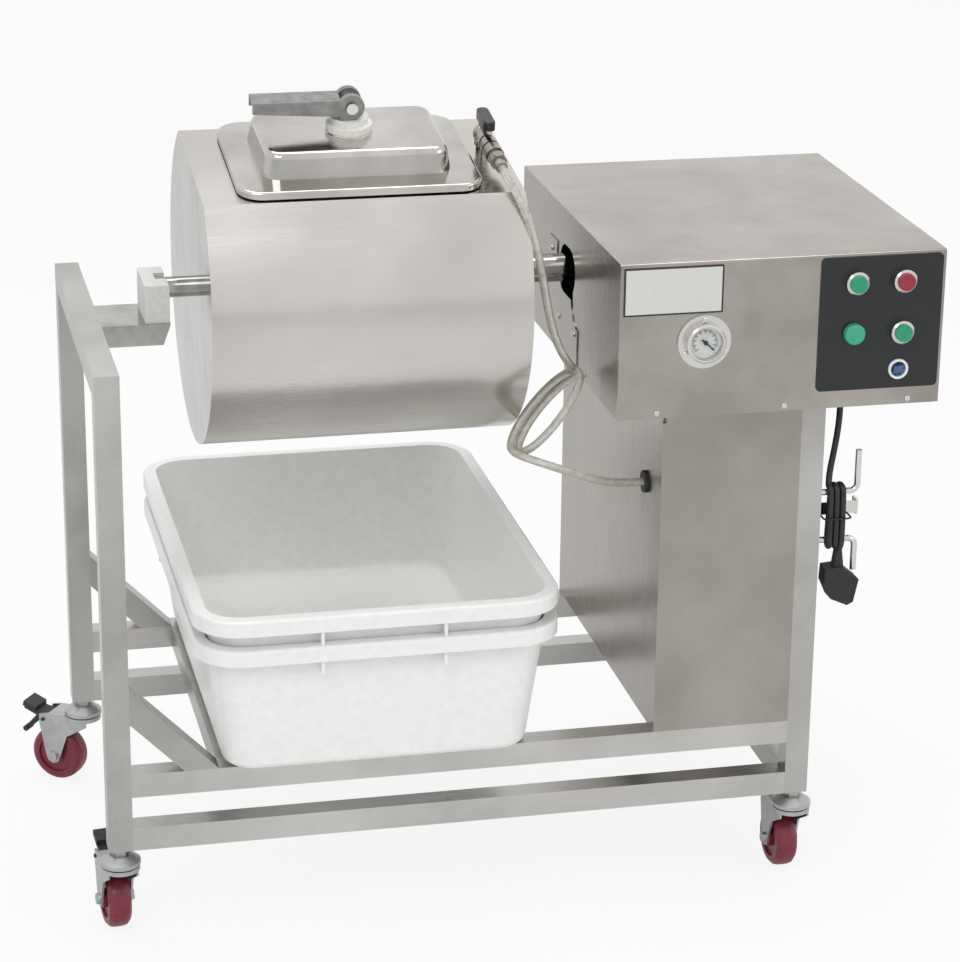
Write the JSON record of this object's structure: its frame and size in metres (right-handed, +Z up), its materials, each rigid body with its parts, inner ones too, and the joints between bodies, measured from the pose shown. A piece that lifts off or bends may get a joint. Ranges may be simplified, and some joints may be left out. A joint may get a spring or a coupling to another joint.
{
  "type": "meat vacuum tumbler",
  "caption": "Wheeled steel-framed tumbler: a horizontal vacuum drum with a clamped lid over two nested tubs, driven from a box-shaped head with a push-button panel and a vacuum gauge.",
  "frame": {"origin": "floor level under the middle of the whole machine, without its free lines", "axes": "+Z up, +X from the free bearing towards the drive head, -Y towards the operator"},
  "size_m": [1.0902, 0.604, 1.0137],
  "materials": {
    "steel_frame": "satin",
    "steel_sheet": "satin",
    "steel_polished": "polished",
    "steel_drum": "brushed",
    "steel_bright": "polished",
    "nickel": "nickel plated",
    "cast_aluminium": "cast",
    "cast_grey": "painted",
    "zinc_plate": "zinc plated",
    "white_plastic": "matte",
    "black_plastic": "gloss",
    "green_plastic": "gloss",
    "red_plastic": "gloss",
    "green_lens": "translucent",
    "tub_plastic": "translucent",
    "black_rubber": "matte",
    "black_cable": "satin",
    "clear_hose": "clear",
    "clear_glass": "clear",
    "maroon_tyre": "satin",
    "black_pedal": "matte"
  },
  "bodies": {
    "frame": {"frame_posts": "steel_frame", "long_rails": "steel_frame", "cross_braces": "steel_frame", "bearing_shelf": "steel_sheet", "bearing_block": "white_plastic", "column_frame": "steel_frame", "column_panels": "steel_sheet", "hose_grommet": "black_rubber", "panel_screws": "steel_bright", "head_base": "steel_sheet", "slot_plate": "steel_sheet", "head_cover": "steel_polished", "control_panel": "black_plastic", "button_bezels": "steel_bright", "switch_bodies": "black_plastic", "pilot_lamp": "green_lens", "name_plate": "white_plastic", "gauge_case": "steel_bright", "gauge_dial": "white_plastic", "gauge_lens": "clear_glass", "shaft_bearings": "cast_grey", "gear_motor": "cast_grey", "vacuum_pump": "cast_grey", "caster_mounts": "zinc_plate", "cord_hooks": "steel_bright", "cord_gland": "black_plastic", "cord_hank": "black_cable", "power_cord": "black_cable", "power_plug": "black_rubber", "vacuum_hose": "clear_hose"},
    "drum": {"drum_shell": "steel_drum", "drum_ends": "steel_polished", "drum_shafts": "steel_polished", "drum_fins": "steel_drum", "vacuum_valve": "nickel", "hose_coupler": "nickel"},
    "lid": {"lid_pan": "steel_polished", "lid_gasket": "black_rubber"},
    "clamp": {"clamp_washer": "white_plastic", "clamp_bar": "steel_bright"},
    "lever": {"clamp_lever": "cast_aluminium"},
    "valve_lever": {"valve_handle": "black_plastic"},
    "vacuum_push": {"vacuum_button": "green_plastic"},
    "stop_push": {"stop_button": "red_plastic"},
    "start_push": {"start_button": "green_plastic"},
    "rocker_tab": {"rocker": "white_plastic"},
    "pointer": {"gauge_pointer": "black_plastic"},
    "tub_low": {"lower_tub": "tub_plastic"},
    "tub_high": {"upper_tub": "tub_plastic"},
    "fork_fl_body": {"fork_fl": "zinc_plate"},
    "wheel_fl_body": {"wheel_fl": "maroon_tyre"},
    "fork_bl_body": {"fork_bl": "zinc_plate"},
    "wheel_bl_body": {"wheel_bl": "maroon_tyre"},
    "fork_fr_body": {"fork_fr": "zinc_plate"},
    "wheel_fr_body": {"wheel_fr": "maroon_tyre"},
    "fork_br_body": {"fork_br": "zinc_plate"},
    "wheel_br_body": {"wheel_br": "maroon_tyre"},
    "pedal_fl_body": {"pedal_fl": "black_pedal"},
    "pedal_bl_body": {"pedal_bl": "black_pedal"}
  },
  "joints": [
    {"name": "drum_spin", "type": "hinge", "parent": "frame", "child": "drum", "pos_m": [-0.14393, -0.01, 0.765], "axis": [1, 0, 0], "continuous": true, "deforming": ["vacuum_hose"]},
    {"name": "lid_lift", "type": "slide", "parent": "drum", "child": "lid", "axis": [0, -0.165, 0.9863], "range_m": [0, 0.12]},
    {"name": "clamp_turn", "type": "hinge", "parent": "lid", "child": "clamp", "pos_m": [-0.14393, -0.04301, 0.96226], "axis": [0, -0.165, 0.9863], "range_deg": [0, 90]},
    {"name": "lever_lift", "type": "hinge", "parent": "clamp", "child": "lever", "pos_m": [-0.14393, -0.04854, 0.9953], "axis": [0, 0.9863, 0.165], "range_deg": [0, 100]},
    {"name": "valve_turn", "type": "hinge", "parent": "drum", "child": "valve_lever", "pos_m": [0.02357, -0.03956, 0.96588], "axis": [0, -0.165, 0.9863], "range_deg": [0, 90]},
    {"name": "vacuum_press", "type": "slide", "parent": "frame", "child": "vacuum_push", "axis": [0, 1, 0], "range_m": [0, 0.004], "stiffness_N_per_m": 600},
    {"name": "stop_press", "type": "slide", "parent": "frame", "child": "stop_push", "axis": [0, 1, 0], "range_m": [0, 0.004], "stiffness_N_per_m": 600},
    {"name": "start_press", "type": "slide", "parent": "frame", "child": "start_push", "axis": [0, 1, 0], "range_m": [0, 0.004], "stiffness_N_per_m": 600},
    {"name": "rocker_tip", "type": "hinge", "parent": "frame", "child": "rocker_tab", "pos_m": [0.49007, -0.27, 0.693], "axis": [0, 0, 1], "range_deg": [-12, 0]},
    {"name": "pointer_sweep", "type": "hinge", "parent": "frame", "child": "pointer", "pos_m": [0.24407, -0.276, 0.741], "axis": [0, 1, 0], "range_deg": [-262, 0], "stiffness_Nm_per_rad": 0.002},
    {"name": "tub_pull", "type": "slide", "parent": "frame", "child": "tub_low", "axis": [0, -1, 0], "range_m": [0, 0.4]},
    {"name": "tub_lift", "type": "slide", "parent": "tub_low", "child": "tub_high", "axis": [0, 0, 1], "range_m": [0, 0.06]},
    {"name": "swivel_fl", "type": "hinge", "parent": "frame", "child": "fork_fl_body", "pos_m": [-0.46593, -0.237, 0.094], "axis": [0, 0, 1], "continuous": true},
    {"name": "roll_fl", "type": "hinge", "parent": "fork_fl_body", "child": "wheel_fl_body", "pos_m": [-0.47057, -0.19928, 0.0375], "axis": [-0.9925, -0.1219, 0], "continuous": true},
    {"name": "brake_fl", "type": "hinge", "parent": "fork_fl_body", "child": "pedal_fl_body", "pos_m": [-0.47227, -0.18539, 0.09], "axis": [-0.9925, -0.1219, 0], "range_deg": [0, 14]},
    {"name": "swivel_bl", "type": "hinge", "parent": "frame", "child": "fork_bl_body", "pos_m": [-0.46593, 0.223, 0.094], "axis": [0, 0, 1], "continuous": true},
    {"name": "roll_bl", "type": "hinge", "parent": "fork_bl_body", "child": "wheel_bl_body", "pos_m": [-0.49706, 0.2448, 0.0375], "axis": [-0.5736, -0.8192, 0], "continuous": true},
    {"name": "brake_bl", "type": "hinge", "parent": "fork_bl_body", "child": "pedal_bl_body", "pos_m": [-0.50853, 0.25283, 0.09], "axis": [-0.5736, -0.8192, 0], "range_deg": [0, 14]},
    {"name": "swivel_fr", "type": "hinge", "parent": "frame", "child": "fork_fr_body", "pos_m": [0.39407, -0.237, 0.094], "axis": [0, 0, 1], "continuous": true},
    {"name": "roll_fr", "type": "hinge", "parent": "fork_fr_body", "child": "wheel_fr_body", "pos_m": [0.39274, -0.19902, 0.0375], "axis": [-0.9994, -0.0349, 0], "continuous": true},
    {"name": "swivel_br", "type": "hinge", "parent": "frame", "child": "fork_br_body", "pos_m": [0.39407, 0.223, 0.094], "axis": [0, 0, 1], "continuous": true},
    {"name": "roll_br", "type": "hinge", "parent": "fork_br_body", "child": "wheel_br_body", "pos_m": [0.38107, 0.25871, 0.0375], "axis": [-0.9397, -0.342, 0], "continuous": true}
  ]
}
